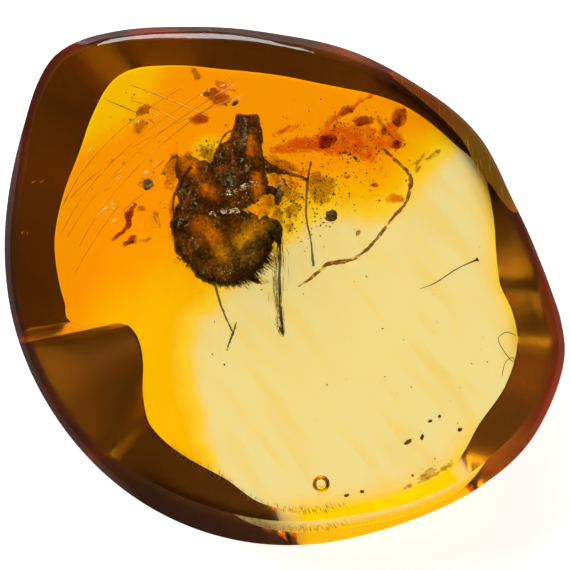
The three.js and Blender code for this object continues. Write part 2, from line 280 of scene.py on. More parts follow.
def radiusAt(outline, degrees):
    # the distance from the middle at an angle, on a smooth closed curve through an outline's points
    count = len(outline)

    def point(i):
        angle, radius = outline[i % count]
        return angle + 360 * (i // count), radius

    i = max(k for k in range(count) if outline[k][0] <= degrees)
    (a0, r0), (a1, r1), (a2, r2), (a3, r3) = [point(i + k) for k in (-1, 0, 1, 2)]
    span = a2 - a1
    t = (degrees - a1) / span
    slopeIn = (r2 - r0) / (a2 - a0) * span
    slopeOut = (r3 - r1) / (a3 - a1) * span
    first = r1 * (2 * t ** 3 - 3 * t ** 2 + 1) + slopeIn * (t ** 3 - 2 * t ** 2 + t)
    return first + r2 * (3 * t ** 2 - 2 * t ** 3) + slopeOut * (t ** 3 - t ** 2)


def stoneAt(degrees):
    # the back, rim and crease radius, and where the bevel ends and the shoulder starts, all in mm
    back, rim, crease = [radiusAt(stone[key], degrees) for key in ("back", "rim", "crease")]
    bevel, shoulder = [
        math.tan(math.radians(radiusAt(stone[key], degrees))) for key in ("bevelSlope", "shoulderSlope")
    ]
    edge = stone["creaseHeight"] - (rim - crease) * shoulder
    girdle = min(max((rim - back) * bevel, stone["lowestGirdle"]), edge - stone["leastWall"])
    return back, rim, crease, girdle, edge


def ringPoint(kind, share, degrees):
    # how far out a ring runs at an angle, and how high, in mm
    back, rim, crease, girdle, edge = stoneAt(degrees)
    if kind == "flat":
        return back * share, 0.0
    if kind == "bevel":
        return between(back, rim, share), girdle * share
    if kind == "wall":
        return rim, between(girdle, edge, share)
    if kind == "shoulder":
        rounded = 1 - (1 - share) ** stone["shoulderRoundness"]
        up = between(rounded, share, max(arc(degrees, *facet) for facet in stone["facets"]))
        return between(rim, crease, share), between(edge, stone["creaseHeight"], up)
    fall = share ** stone["domeRoundness"]
    return crease * share, between(stone["domeHeight"], stone["creaseHeight"], fall)


def placeRing(piece, kind, share):
    # the selected points move to their ring, each along its own ray
    mesh = bmesh.from_edit_mesh(piece.data)
    for vert in mesh.verts:
        if vert.select:
            angle = math.atan2(vert.co.y, vert.co.x)
            radius, height = ringPoint(kind, share, math.degrees(angle) % 360)
            vert.co = Vector((radius * math.cos(angle), radius * math.sin(angle), height)) * mm
    bmesh.update_edit_mesh(piece.data)


def makeStone():
    settings = {"vertices": stone["steps"], "radius": 10 * mm, "fill_type": "NGON"}
    piece = addNew(bpy.ops.mesh.primitive_circle_add, **settings)
    bpy.ops.object.mode_set(mode="EDIT")
    rings = [(kind, share) for kind, shares in stone["rings"].items() for share in shares]
    for number, ring in enumerate(rings):
        if number:
            bpy.ops.mesh.extrude_edges_move()
        placeRing(piece, *ring)
    bpy.ops.mesh.extrude_edges_move()
    bpy.ops.mesh.merge(type="CENTER")
    placeRing(piece, "dome", 0)
    faceOut(piece)
    return piece


def drawIn(mesh):
    # finer than the frame's, the outline bulges a hair further: draw it in to the frame's own reach
    for axis in (0, 1):
        for side, corner in zip((-1, 1), cadBox):
            reach = max(side * vert.co[axis] for vert in mesh.vertices)
            share = min(1.0, side * corner[axis] / reach)
            for vert in mesh.vertices:
                if side * vert.co[axis] > 0:
                    vert.co[axis] *= share


# hollows in the stone, in mm and degrees

hollows = {
    "bubble": ((2.28, -12.47, 4.4), 0.58),  # place and radius
    # flat stress discs: place, half length, half width, turn and tilt
    "discs": [
        ((-8.7, 6.75, 6.6), 0.5, 0.34, 25, 24), ((-8.35, 4.2, 6.4), 0.34, 0.5, 30, 28),
        ((0.1, 5.9, 6.4), 0.7, 0.36, 55, 26), ((-6.9, 1.7, 6.2), 0.28, 0.2, 10, 25),
        ((-15.8, 6.7, 5.6), 0.36, 0.14, 10, 34), ((-16.6, 3.4, 5.2), 0.22, 0.2, 0, 36),
        ((-10.7, 7.2, 6.8), 0.5, 0.1, 32, 30), ((-9.4, 5.7, 6.6), 0.5, 0.1, 35, 30),
        ((-10.2, 5.0, 6.5), 0.6, 0.09, 38, 30), ((-11.3, 6.3, 6.6), 0.4, 0.08, 30, 30),
        ((-8.1, 7.8, 6.8), 0.5, 0.12, 38, 30),
    ],
    "discThickness": 0.03,
    # scratches that the polish left: start, middle and end
    "scratches": [
        ((-14.3, 3.4), (-12.2, 8.2), (-4.9, 12.6)), ((-13.9, 3.2), (-11.2, 8.3), (-3.3, 12.9)),
        ((-13.2, 2.5), (-10.8, 7.4), (-4.2, 11.9)), ((-14.2, 5.2), (-12.2, 9.6), (-6.6, 12.7)),
        ((-13.7, 5.7), (-10.6, 9.2), (-2.8, 12.2)), ((-9.9, 12.9), (-7.3, 12.0), (-5.0, 10.9)),
        ((-9.9, 11.9), (-8.2, 11.5), (-6.9, 10.6)), ((-11.4, 11.9), (-9.5, 11.2), (-8.3, 10.4)),
        ((-13.4, 0.9), (-12.2, 3.2), (-10.6, 5.2)),
    ],
    "scratchSteps": 24, "scratchDepth": 0.08,
    "scratchRadius": (0.012, 0.035),  # the least, and what a noise adds
}

# small flat cracks that mirror the lamp
glints = {
    # rows of them: from, to, how many, their length
    "rows": [
        ((-3.8, 5.95), (-1.6, 6.65), 22, 0.3), ((-4.7, 4.7), (-2.4, 4.95), 20, 0.3),
        ((-3.4, 5.2), (-2.2, 5.9), 8, 0.2), ((-8.9, 7.2), (-8.3, 7.6), 5, 0.3),
        ((-10.3, 7.1), (-9.9, 7.4), 4, 0.3), ((-11.6, 6.4), (-10.5, 6.9), 7, 0.24),
        ((-11.9, 4.4), (-10.5, 5.6), 9, 0.28), ((-10.8, 4.2), (-9.3, 5.5), 8, 0.24),
        ((-7.2, 6.5), (-6.8, 6.8), 4, 0.2), ((-7.3, 8.4), (-6.4, 8.0), 5, 0.16),
        ((-5.6, 9.4), (-5.1, 9.9), 4, 0.18), ((-2.6, 8.9), (-2.3, 9.3), 3, 0.18),
        ((-12.6, 8.9), (-10.9, 10.2), 6, 0.34), ((-9.9, 10.2), (-7.8, 11.3), 10, 0.34),
        ((-6.4, 11.9), (-3.4, 13.2), 14, 0.32), ((-0.6, 5.9), (0.2, 6.9), 8, 0.26),
        ((-4.2, 1.0), (-2.6, 1.4), 4, 0.12), ((5.9, 9.2), (6.3, 9.9), 5, 0.16),
    ],
    "scatter": 0.12,
    "depth": (0.3, 1.0),  # under the dome
    "length": (0.3, 1.1),  # times the row's own
    "width": (0.2, 0.5),  # of its length
    "thickness": 0.006,
    "facing": 66,  # where the lamp is, seen from above
    "tilt": (15, 0.28, 2.6),  # in the middle, more for each mm out, and its spread
    "stray": 0.25,  # radians; how much they turn from their row
    "overBody": ((-3.3, 5.8), 2.4, 6.35, 3),  # the thorax: middle, reach, height and times as many
}


def degreesAt(x, y):
    return math.degrees(math.atan2(y, x)) % 360


def domeAt(x, y):
    # the height of the front over a place
    share = math.hypot(x, y) / radiusAt(stone["crease"], degreesAt(x, y))
    fall = min(share, 1.0) ** stone["domeRoundness"]
    return between(stone["domeHeight"], stone["creaseHeight"], fall)


def makeGlints():
    chance = random.Random(5)
    built = bmesh.new()
    (bodyX, bodyY), reach, bodyHeight, times = glints["overBody"]
    facing = math.radians(glints["facing"])
    tilt, tiltOut, tiltSpread = glints["tilt"]
    for start, end, count, length in glints["rows"]:
        lie = math.atan2(end[1] - start[1], end[0] - start[0])
        overBody = math.hypot(start[0] - bodyX, start[1] - bodyY) < reach
        for _ in range(count * times if overBody else count):
            share = chance.random()
            x, y = [between(a, b, share) + chance.gauss(0, glints["scatter"]) for a, b in zip(start, end)]
            height = bodyHeight if overBody else domeAt(x, y) - chance.uniform(*glints["depth"])
            slope = math.radians(tilt + tiltOut * math.hypot(x, y) + chance.gauss(0, tiltSpread))
            size = length * chance.uniform(*glints["length"]) / 2
            place = Matrix.Translation(Vector((x, y, height)) * mm)
            lean = Matrix.Rotation(facing, 4, "Z") @ Matrix.Rotation(-slope, 4, "X")
            turn = Matrix.Rotation(lie - facing + chance.gauss(0, glints["stray"]), 4, "Z")
            width = size * chance.uniform(*glints["width"])
            flat = Matrix.Diagonal(Vector((size, width, glints["thickness"], 1 / mm))) * mm
            matrix = place @ lean @ turn @ flat
            bmesh.ops.create_uvsphere(built, u_segments=10, v_segments=6, radius=1, matrix=matrix)
    return addBuilt(built, "glints")


def makeScratch(number, start, middle, end):
    # a thin groove just under the polish, along a bow
    steps = hollows["scratchSteps"]
    least, more = hollows["scratchRadius"]
    points, radii = [], []
    for step in range(steps + 1):
        t = step / steps
        x, y = [between(between(a, b, t), between(b, c, t), t) for a, b, c in zip(start, middle, end)]
        points.append((x, y, domeAt(x, y) - hollows["scratchDepth"]))
        radii.append(least + more * abs(noise.noise(Vector((number * 3.7, step * 0.6, 0)))))
    return makeLimb(points, radii, 3)


# the stone's skins and the painted shade on its rim, in mm; an arc is in degrees: in from, in to, out from, out to
skinsAndRimShade = {
    # the window, where the back was polished right through its skin: an outline from above
    "windowEdge": [
        (-3.6, -13.4), (-4.7, -11.4), (-5.5, -9.2), (-6.3, -6.6), (-6.5, -4.0), (-6.1, -1.8),
        (-4.4, -0.2), (-2.2, 1.7), (0.8, 3.9), (2.3, 4.9), (4.1, 5.2), (5.4, 4.6), (7.3, 5.0),
        (7.9, 6.5), (8.8, 7.7), (11.2, 9.5), (15, 11), (19, -4), (15, -13), (6, -18), (-3, -17),
    ],
    "farOut": -9.0,  # the depth in the window, off the back
    "gold": [(262, 276, 318, 332), (334, 348, 26, 38)],
    "goldWidth": 2.4,  # along the edge of the back
    "clearBevel": (264, 274, 312, 318),  # polished: the rest of the bevel is ground
    "thin": ((66, 76, 100, 116), 0.55),  # where the rim's painted shade is lighter, and how much
    # the darkest painted shade on the rim, where light turns round inside the stone: arc, from and to outward, and
    # how dark
    "deep": [
        ((8, 24, 60, 76), (13.4, 14.5), 1), ((222, 238, 264, 278), (14.2, 14.8), 0.85),
        ((338, 350, 14, 24), (14.8, 15.6), 0.7),
    ],
}


def depthInside(outline, x, y):
    # the distance from a closed outline's nearest side, above 0 inside it
    place = Vector((x, y))
    inside, nearest = False, 99.0
    for (x0, y0), (x1, y1) in zip(outline, outline[1:] + outline[:1]):
        if (y0 > y) != (y1 > y) and x < x0 + (y - y0) * (x1 - x0) / (y1 - y0):
            inside = not inside
        start, side = Vector((x0, y0)), Vector((x1 - x0, y1 - y0))
        along = min(max((place - start).dot(side) / side.length_squared, 0.0), 1.0)
        nearest = min(nearest, (start + side * along - place).length)
    return nearest if inside else -nearest


def skinAndShadeShares(place):
    # how much painted rim shade, dark and very dark, golden and ground skin there is at a place, and how deep in the
    # window it is
    x, y, height = (c / mm for c in place)
    degrees = degreesAt(x, y)
    radius = math.hypot(x, y)
    back, rim, crease, girdle, _ = stoneAt(degrees)
    golden = [arc(degrees, *part) for part in skinsAndRimShade["gold"]]
    if height < 0.001:
        strip = smoothStep(back - skinsAndRimShade["goldWidth"], back, radius) ** 2
        return 0.0, strip * max(golden), 0.0, 0.0, depthInside(skinsAndRimShade["windowEdge"], x, y)
    if height <= girdle * 0.999:
        clear = arc(degrees, *skinsAndRimShade["clearBevel"])
        return 0.0, clear, 0.0, 1.0 - clear, skinsAndRimShade["farOut"]
    # outside the crease the shoulder is painted dark, as shade where light turns round inside the stone; on the
    # golden bottom it is golden instead
    outside = smoothStep(crease - 0.05, between(crease, rim, 0.35), radius)
    part, share = skinsAndRimShade["thin"]
    dark = outside * (1 - golden[0]) * (1 - share * arc(degrees, *part))
    deep = max(
        arc(degrees, *part) * smoothStep(*reach, radius) * share for part, reach, share in skinsAndRimShade["deep"]
    )
    return dark, outside * golden[0], deep, 0.0, skinsAndRimShade["farOut"]


def makeAmber():
    at, radius = hollows["bubble"]
    holes = [addBall(at, [radius] * 3, segments=40, rings=20)]
    for at, length, width, turn, tilt in hollows["discs"]:
        holes.append(addBall(at, (length, width, hollows["discThickness"]), turn, tilt, 20, 8))
    holes += [makeScratch(number, *line) for number, line in enumerate(hollows["scratches"])]
    holes.append(makeGlints())
    for hole in holes:
        faceOut(hole, hollow=True)
    solid = makeStone()
    drawIn(solid.data)
    outside = len(solid.data.vertices)
    piece = joinAll([solid] + holes, "amber")
    shares = [skinAndShadeShares(vert.co) for vert in piece.data.vertices[:outside]]
    for name, values in zip(("dark", "gold", "deep", "ground", "window"), zip(*shares)):
        layer = piece.data.attributes.new(name, "FLOAT", "POINT")
        for index, value in enumerate(values):
            layer.data[index].value = value
    selectOnly(piece)
    bpy.ops.object.shade_smooth_by_angle(angle=math.radians(stone["smoothAngle"]))
    return piece


# amber: fossil resin, hand-polished, so clear and glossy; it takes out blue first and then green, so
# it goes from straw yellow through orange to dark brown as the way through it gets longer
amberLook = {
    "ior": 1.54, "polished": 0.012, "ground": 0.22, "takes": (0.975, 0.86, 0.375, 1), "density": 200,
    "pale": "ebf3d8",  # the window
    "flow": "f0dc8c",  # its streaks
    "verge": "ffd810",  # its edge
    "orange": "ff7600",  # the skin that is left on the back
    "golden": "ffb400",
    # painted shade: the rim's dark and very dark colours, where light turns round inside the stone
    "darkRimShade": "8a3a00",
    "deepRimShade": "2a1500",
    "scraped": "6e420a",  # fine scratches through the deepest painted shade
    "goldSkin": "ffd600",
    "groundSkin": "a0480a",
    # mm inside the window's outline, from and to: the window, its bright edge and the golden verge
    "depths": [(1.0, 2.4), (0.3, 1.5), (-1.7, 0.8)],
    "wander": 2.2,  # mm; how far a noise shifts them
    "ease": 2.2,  # slows the window's rise, so that no pink shows between
    # the golden parts of the skin: middle, half sizes (mm) and turn
    "patches": [
        ((-8.6, -7.0), (4.6, 8.5), -12), ((-11.6, 12.4), (4.4, 2.4), 42), ((-4.9, 8.6), (1.0, 0.9), 0),
    ],
    "ragged": 0.5,
    "patchEdge": (0.8, 1.7),  # of its half size
}


def amberMaterial():
    look = amberLook
    material, tree, shader, place = newMaterial("polished_amber")
    dark, gold, deep, ground, depth = [
        addNode(tree, "Attribute", attribute_name=name).outputs["Fac"]
        for name in ("dark", "gold", "deep", "ground", "window")
    ]
    wander = addNode(tree, "TexNoise", {"Vector": place, "Scale": 0.3 / mm, "Detail": 3.0})
    depth = addNode(tree, "Math", [wander, look["wander"], depth], operation="MULTIPLY_ADD")
    window, edge, yellow = [
        addNode(tree, "MapRange", [depth, *span], **smooth) for span in look["depths"]
    ]
    window = addNode(tree, "Math", [window, look["ease"]], operation="POWER")
    # golden ovals, whose edges a noise makes uneven
    wobble = addNode(tree, "TexNoise", {"Vector": place, "Scale": 0.25 / mm, "Detail": 3.0})
    for (x, y), (wide, high), turn in look["patches"]:
        oval = addNode(tree, "Mapping", [
            place, (x * mm, y * mm, 0), (0, 0, math.radians(turn)), (wide * mm, high * mm, 1),
        ], vector_type="TEXTURE")
        flat = addNode(tree, "VectorMath", [oval, (1, 1, 0)], operation="MULTIPLY")
        length = addNode(tree, "VectorMath", [flat], operation="LENGTH").outputs["Value"]
        away = addNode(tree, "Math", [wobble, look["ragged"], length], operation="MULTIPLY_ADD")
        patch = addNode(tree, "MapRange", [away, *look["patchEdge"], 1.0, 0.0], **smooth)
        yellow = addNode(tree, "Math", [yellow, patch], operation="MAXIMUM")
    # faint streaks where the resin once flowed, about a millimetre wide and eight long
    sockets = [place, (0, 0, 0), (0, 0, math.radians(-50)), (4.5, 0.67, 1)]
    along = addNode(tree, "Mapping", sockets, vector_type="TEXTURE")
    sockets = {"Vector": along, "Scale": 0.55 / mm, "Detail": 2.0, "Distortion": 0.6}
    flow = addNode(tree, "TexNoise", sockets)
    streaks = addNode(tree, "MapRange", [flow, 0.44, 0.72, 0, 0.75], **smooth)
    # the deepest painted rim shade has upright scratches in it, 0.07 mm wide and two long
    sockets = [place, (0, 0, 0), (0, 0, math.radians(6)), (0.07, 2.2, 1)]
    upright = addNode(tree, "Mapping", sockets, vector_type="TEXTURE")
    scraped = addNode(tree, "TexNoise", {"Vector": upright, "Scale": 1 / mm, "Detail": 2.0})
    lines = addNode(tree, "MapRange", [scraped, 0.58, 0.74])
    up = addNode(tree, "SeparateXYZ", [place]).outputs["Z"]
    onBack = addNode(tree, "MapRange", [up, 0.02 * mm, 0.1 * mm, 1.0, 0.0])
    pale = layColours(tree, look["pale"], [(streaks, look["flow"])])
    backColour = layColours(tree, look["orange"], [
        (yellow, look["golden"]), (edge, look["verge"]), (window, pale),
    ])
    # the rim's dark and very dark colours are painted shade, laid over the skins
    deepShadeColour = layColours(tree, look["deepRimShade"], [(lines, look["scraped"])])
    colour = layColours(tree, (1, 1, 1, 1), [
        (onBack, backColour), (ground, look["groundSkin"]), (gold, look["goldSkin"]),
        (dark, look["darkRimShade"]), (deep, deepShadeColour),
    ])
    roughness = addNode(tree, "MapRange", [ground, 0, 1, look["polished"], look["ground"]])
    setSockets(tree, shader, {
        "Base Color": colour, "Roughness": roughness, "IOR": look["ior"], "Transmission Weight": 1.0,
    })
    setOutput(tree, shader, look["takes"], look["density"])
    return material


print("stone")
finishPiece(makeAmber(), amberMaterial(), "amber", ("amber_lower", "amber_upper"))


# the insect: a hairy, curled, long-legged one, its head up and its abdomen bent down, round and up

insect = {
    "middle": (-3.5, 6.4, partingHeight),  # of its thorax; the rest is in mm from here
    # centre, half sizes and turn
    "masses": [
        ((0, 0, 0.2), (2.3, 1.6, 1.5), 8), ((0.5, 1.3, 0.2), (1.5, 0.9, 0.8), 12),
        ((-0.9, -3.1, -0.4), (1.3, 1.7, 0.7), 0), ((-0.1, 1.9, 0.2), (0.9, 0.9, 0.6), 0),
        ((-2.0, 0.5, 0.2), (1.1, 0.9, 0.8), 25), ((-2.5, -0.4, 0.1), (0.8, 1.3, 0.7), 0),
        ((1.6, -3.65, 0), (1.1, 1.15, 0.75), 0), ((-2.7, 1.1, 0.1), (0.8, 0.9, 0.5), 20),
        ((0.8, -2.7, -0.1), (1.0, 1.1, 0.4), 0), ((0.3, -4.6, 0), (1.4, 0.8, 0.5), 12),
    ],
    # each limb's path and its radii; a point with no height of its own lies at the usual one
    "usualHeight": 0.2,
    "body": {
        "head": ([(0.75, 0.9), (0.87, 2.1), (1.0, 3.3), (1.04, 4.5)], [1.35, 1.2, 1.0, 0.72]),
        "abdomen": (
            [(-1.6, -0.2, 0), (-2.5, -1.85, 0), (-2.5, -3.4, 0), (-1.6, -4.75, 0.1),
             (-0.3, -5.4, 0.1), (0.9, -5.1, 0.1), (1.7, -4.1, 0.1), (1.9, -3.1, 0.1)],
            [1.0, 1.05, 1.05, 0.98, 0.95, 0.85, 0.7, 0.5],
        ),
        "coxa": ([(-0.1, -0.8, 0.6), (0.1, -2.4, 0.5), (0.15, -3.8)], [0.85, 0.6, 0.28]),
        "shoulder": ([(-1.5, 0.7), (-2.7, 1.4), (-3.5, 1.9)], [0.5, 0.4, 0.12]),
        "hip": ([(1.6, -0.1), (2.75, -0.4), (3.05, -1.2)], [0.4, 0.2, 0.12]),
        "thigh": ([(1.7, 1.3), (2.9, 1.0), (4.0, 0.65)], [0.42, 0.26, 0.14]),
        "fringe": ([(0.5, -5.2, 0.1), (1.4, -5.8, 0.1), (2.1, -6.3, 0.1)], [0.5, 0.3, 0.1]),
        "knee": ([(1.9, -2.3), (2.8, -2.7), (3.1, -3.8)], [0.42, 0.36, 0.16]),
    },
    "legs": {
        "hindLeg": (
            [(2.9, -2.9, 0.3), (3.15, -4.2), (3.1, -6.4), (3.2, -8.3, 0.1), (3.38, -9.5, 0.1)],
            [0.09, 0.06, 0.05, 0.05, 0.03],
        ),
        "middleLeg": ([(-1.2, -5.2), (-0.6, -7.5), (0.2, -9.35)], [0.1, 0.07, 0.05]),
        "upperClaw": ([(0.2, -9.3), (0.3, -9), (0.42, -8.6)], [0.06, 0.04]),
        "lowerClaw": ([(0.2, -9.3), (0, -9.8), (-0.15, -10.2)], [0.08, 0.05]),
        "frontShin": (
            [(5.1, 1.5), (4.9, 0.3), (4.8, -1.8), (5.1, -3.45), (5.28, -5.1)],
            [0.05, 0.08, 0.06, 0.05, 0.09],
        ),
        "frontJoint": ([(3.8, 0.7), (4.4, 0.55), (4.9, 0.35)], [0.13, 0.09, 0.08]),
        "antenna": ([(0.6, 3.6), (-0.3, 3.3), (-0.75, 2.45), (-0.5, 1.7), (0, 0.9)], [0.06, 0.05]),
        "leftFoot": ([(-3.4, 1.95), (-3.9, 1.6), (-4.4, 0.7)], [0.06, 0.04, 0.03]),
        "leftShin": ([(-2.5, 1.2), (-3.3, 0.1), (-3.6, -1.1), (-3.45, -2.4)], [0.12, 0.08, 0.06, 0.07]),
    },
    "grain": 0.085,  # mm; the remesh that grows the body's shapes together
    # each layer of wrinkles: how many to the mm, and how deep
    "wrinkles": [(0.8, 0.3), (2.2, 0.16), (6.0, 0.09)],
    "calmFrom": 8.4,  # mm; the head, beyond this line, is smoother
    # the places that light comes through: from, to and how wide; a noise moves their edges
    "thinPlaces": [
        ((-1.9, -2.6), (-0.6, -4.1), 0.75), ((0.6, -3.4), (1.6, -2.4), 0.7),
        ((1.3, 2.1), (1.3, 3.2), 0.32), ((-3.0, 1.6), (-2.2, 0.7), 0.7),
        ((-1.2, -0.6), (-2.0, 0.2), 0.4), ((1.6, 0.4), (1.9, -0.5), 0.5),
    ],
    "thinWander": [(1.1, 0.5), (3.2, 0.25)],
}


def smoothPath(points, radii, steps, height=insect["usualHeight"]):
    # a smooth line through points, with the radii spread evenly along it
    places = [Vector((*point, height)[:3]) for point in points]
    places = [places[0] * 2 - places[1]] + places + [places[-1] * 2 - places[-2]]
    line, widths = [], []
    for step in range(steps + 1):
        along = step / steps * (len(points) - 1)
        i = min(int(along), len(points) - 2)
        t = along - i
        a, b, c, d = places[i:i + 4]
        bend, twist = a * 2 - b * 5 + c * 4 - d, b * 3 - a - c * 3 + d
        line.append((b * 2 + (c - a) * t + bend * t ** 2 + twist * t ** 3) / 2)
        share = step / steps * (len(radii) - 1)
        k = min(int(share), len(radii) - 2)
        widths.append(between(radii[k], radii[k + 1], share - k))
    return line, widths


def insectLimb(limb, steps, sides):
    line, widths = smoothPath(*limb, steps)
    middle = Vector(insect["middle"])
    return makeLimb([point + middle for point in line], widths, sides)


def roughen(mesh, layers, seed, calmFrom=99.0):
    # push a mesh's points in and out along their normals by layers of noise, less beyond a line
    for vert, normal in [(v, v.normal.copy()) for v in mesh.vertices]:
        place = vert.co / mm
        shift = Vector((seed, seed, 0))
        push = sum(depth * noise.noise(place * finer + shift) for finer, depth in layers)
        calm = 1 - 0.65 * smoothStep(calmFrom, calmFrom + 1.2, place.y)
        vert.co += normal * push * calm * mm


def makeBody():
    middle = Vector(insect["middle"])
    parts = [insectLimb(limb, 24, 16) for limb in insect["body"].values()]
    parts += [addBall(Vector(centre) + middle, half, turn) for centre, half, turn in insect["masses"]]
    body = joinAll(parts, "insectBody")
    applyModifier(body, "REMESH", mode="VOXEL", voxel_size=insect["grain"] * mm)
    applyModifier(body, "SMOOTH", factor=0.5, iterations=4)
    roughen(body.data, insect["wrinkles"], 3.1, insect["calmFrom"])
    thin = body.data.attributes.new("thin", "FLOAT", "POINT")
    for vert in body.data.vertices:
        place = vert.co / mm - middle
        wander = sum(depth * noise.noise(place * finer) for finer, depth in insect["thinWander"])
        glow = []
        for start, end, reach in insect["thinPlaces"]:
            start, side = Vector(start), Vector(end) - Vector(start)
            along = min(max((place.xy - start).dot(side) / side.length_squared, 0.0), 1.0)
            away = (place.xy - start - side * along).length + wander
            glow.append(1 - smoothStep(0, reach * 1.3, away))
        thin.data[vert.index].value = max(glow)
    return body


def addHair(mesh, root, tip, width, bow):
    # a bristle: three sides, a knee halfway and a point
    along = tip - root
    side = along.orthogonal().normalized()
    other = along.cross(side).normalized()
    rings = []
    for centre, radius in ((root, width), ((root + tip) / 2 + bow, width * 0.75)):
        corners = [side * math.cos(turn) + other * math.sin(turn) for turn in (0, 2.094, 4.189)]
        rings.append([mesh.verts.new((centre + corner * radius) * mm) for corner in corners])
    point = mesh.verts.new(tip * mm)
    mesh.faces.new(rings[0][::-1])
    for i in range(3):
        j = (i + 1) % 3
        mesh.faces.new((rings[0][i], rings[0][j], rings[1][j], rings[1][i]))
        mesh.faces.new((rings[1][i], rings[1][j], point))


# each group of hairs: how many, how long (mm), how thick beside the width, how far they bow and stray
hairs = {
    "width": 0.015,  # mm; half the thickness of a bristle
    "leg": (250, (0.4, 1.6), 0.8, 0.1, [(-0.06, 0.22), (0, 0.1), (0, 0.2)]),
    "fuzz": (1700, (0.15, 0.6), 0.8, 0.03, 0.18),
    "fringe": (420, (0.4, 1.2), 0.9, 0.05, 0.22),
    "thinLegs": (150, (0.12, 0.26), 0.6, 0.01, 1),
    "thorax": (150, (0.3, 0.8), 0.7, 0.05, 0.4),
    "fuzzMiddle": (-0.6, -2.6, 0.1), "fuzzCombed": (0.35, -0.45, 0),
    "fringeFrom": (-0.2, -5.9), "fringeTo": (2.4, -4.4), "fringeCombed": (0.75, -0.75, 0),
    "thoraxHalf": (2.1, 1.5, 1.2),
}


def makeHairs():
    chance = random.Random(11)
    middle = Vector(insect["middle"])
    built = bmesh.new()

    def spread(size):
        return Vector([chance.gauss(0, size) for _ in range(3)])

    def grow(root, tip, thick, bow):
        addHair(built, root + middle, tip + middle, hairs["width"] * thick, bow)

    # the hind leg: long hairs that lie along it and meet in a brush at its tip
    count, length, thick, bow, stray = hairs["leg"]
    line, _ = smoothPath(*insect["legs"]["hindLeg"], 60)
    for _ in range(count):
        start = chance.randrange(0, 56)
        end = min(start + chance.randrange(5, 14), 60)
        out = Vector([chance.gauss(*axis) for axis in stray])
        tip = line[end] + out * (1 - end / 110) * chance.uniform(*length) + Vector((0, -0.1, 0))
        grow(line[start] + out * (1 - start / 150), tip, thick, out * bow)
    # the abdomen's outer side: short fuzz, combed down and to the right
    count, length, thick, bow, stray = hairs["fuzz"]
    line, widths = smoothPath(*insect["body"]["abdomen"], 60)
    for _ in range(count):
        i = chance.randrange(4, 58)
        outward = (line[i] - Vector(hairs["fuzzMiddle"])).normalized()
        lift = Vector((0, 0, chance.uniform(-0.8, 1.1)))
        way = (outward + lift + spread(stray)).normalized()
        root = line[i] + way * widths[i] * 0.86
        combed = (way + Vector(hairs["fuzzCombed"])).normalized()
        grow(root, root + combed * chance.uniform(*length), thick, spread(bow))
    # the fringe at the bottom
    count, length, thick, bow, stray = hairs["fringe"]
    for _ in range(count):
        share = chance.random()
        x, y = [between(a, b, share) for a, b in zip(hairs["fringeFrom"], hairs["fringeTo"])]
        root = Vector((x, y, 0.1)) + spread(stray)
        way = (Vector(hairs["fringeCombed"]) + spread(stray)).normalized()
        grow(root, root + way * chance.uniform(*length), thick, spread(bow))
    # bristles on the thin legs, the thorax and the head
    count, length, thick, bow, stray = hairs["thinLegs"]
    for _ in range(count):
        names = ("middleLeg", "frontShin", "leftShin", "frontJoint", "upperClaw", "lowerClaw")
        line, _ = smoothPath(*insect["legs"][chance.choice(names)], 30)
        i = chance.randrange(0, 30)
        along = (line[i + 1] - line[i]).normalized() * 1.2
        way = (spread(stray).normalized() + along).normalized()
        grow(line[i], line[i] + way * chance.uniform(*length), thick, spread(bow))
    count, length, thick, bow, stray = hairs["thorax"]
    for _ in range(count):
        turn = chance.uniform(0, 2 * math.pi)
        way = Vector((math.cos(turn), math.sin(turn), chance.uniform(-0.3, 0.6)))
        root = way * Vector(hairs["thoraxHalf"]) + Vector((0, 0, 0.2))
        tip = root + (way + spread(stray)).normalized() * chance.uniform(*length)
        grow(root, tip, thick, spread(bow))
    return addBuilt(built, "hairs")


# chitin: horn-like and glossy where the resin wetted it, dark brown where it is thick and amber-red
# where light gets through it; dirt in its wrinkles makes it uneven
chitinLook = {
    "dark": "1c0f04", "brown": "5a2806", "red": "b04e08", "clump": 0.9, "grime": 4.0,  # to the mm
    "roughness": 0.3, "coat": 0.6, "coatRoughness": 0.08, "bump": 0.6, "bumpDepth": 0.06,
    "takes": (0.8, 0.6, 0.15, 1), "density": 700,
    "hair": "3a300a", "hairLight": "7c6418", "hairRoughness": 0.45, "hairClear": 0.4,
}


def chitinMaterial():
    look = chitinLook
    material, tree, shader, place = newMaterial("chitin")
    clumps = addNode(tree, "TexNoise", {"Vector": place, "Scale": look["clump"] / mm, "Detail": 5.0})
    grime = addNode(tree, "TexNoise", {"Vector": place, "Scale": look["grime"] / mm, "Detail": 4.0})
    thin = addNode(tree, "Attribute", attribute_name="thin").outputs["Fac"]
    patchy = addNode(tree, "MapRange", [clumps, 0.42, 0.6])
    bump = {"Height": grime, "Strength": look["bump"], "Distance": look["bumpDepth"] * mm}
    setSockets(tree, shader, {
        "Base Color": layColours(tree, look["dark"], [(patchy, look["brown"]), (thin, look["red"])]),
        "Roughness": look["roughness"], "Normal": addNode(tree, "Bump", bump),
        "Coat Weight": look["coat"], "Coat Roughness": look["coatRoughness"],
    })
    # light passes between the clumps, and most of all at the thin places
    gaps = addNode(tree, "MapRange", [grime, 0.35, 0.62, 0.15, 0.6])
    broad = addNode(tree, "MapRange", [clumps, 0.4, 0.64, 0.35, 1.0])
    loose = addNode(tree, "Math", [gaps, broad], operation="MULTIPLY")
    share = addNode(tree, "Math", [thin, 0.5, loose], operation="MULTIPLY_ADD", use_clamp=True)
    surface = addNode(tree, "MixShader", [share, shader, addNode(tree, "BsdfTransparent")])
    setOutput(tree, surface, look["takes"], look["density"])
    return material


